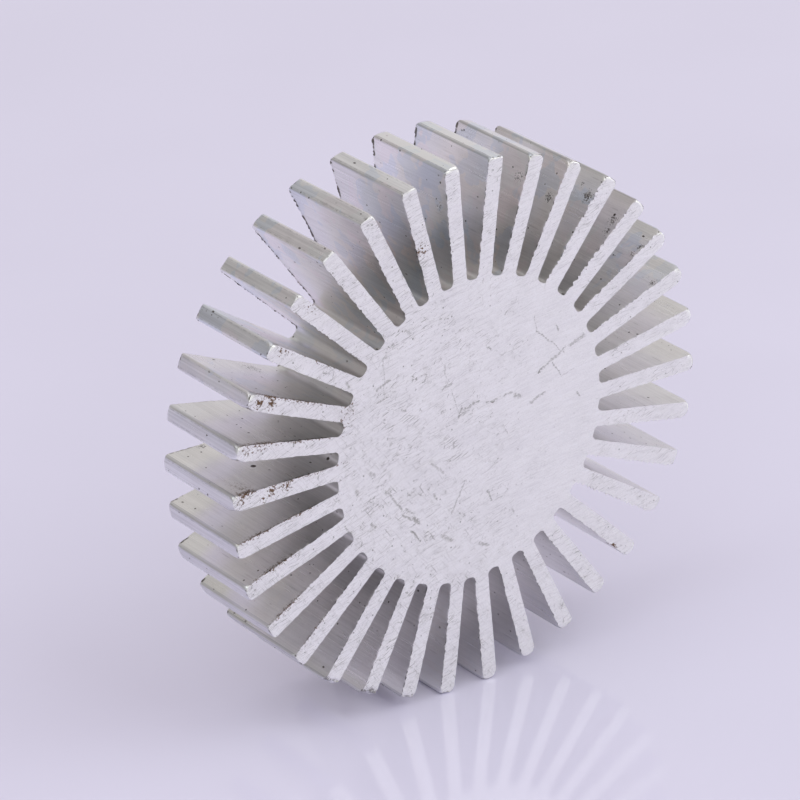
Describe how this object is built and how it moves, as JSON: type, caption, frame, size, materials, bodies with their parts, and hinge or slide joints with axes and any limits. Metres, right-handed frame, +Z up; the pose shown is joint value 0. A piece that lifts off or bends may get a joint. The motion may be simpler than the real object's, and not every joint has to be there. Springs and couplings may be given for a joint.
{
  "type": "extruded heat sink",
  "caption": "Round aluminium heat sink cut from an extruded bar: a solid core with straight radial fins and flat sawn ends, for cooling a light or chip on its core face.",
  "frame": {"origin": "on the axis of the extrusion, half way between the two sawn faces", "axes": "+Y along the axis of the extrusion, away from the front sawn face; +Z up through the middle of the highest slot, as the heat sink stands on the tips of its two lowest fins"},
  "size_m": [0.06, 0.0124, 0.0598],
  "materials": {
    "mill_aluminium": "bare mill finish along the fins, sawn matte at both ends"
  },
  "bodies": {
    "root": {"heat_sink": "mill_aluminium"}
  },
  "joints": []
}
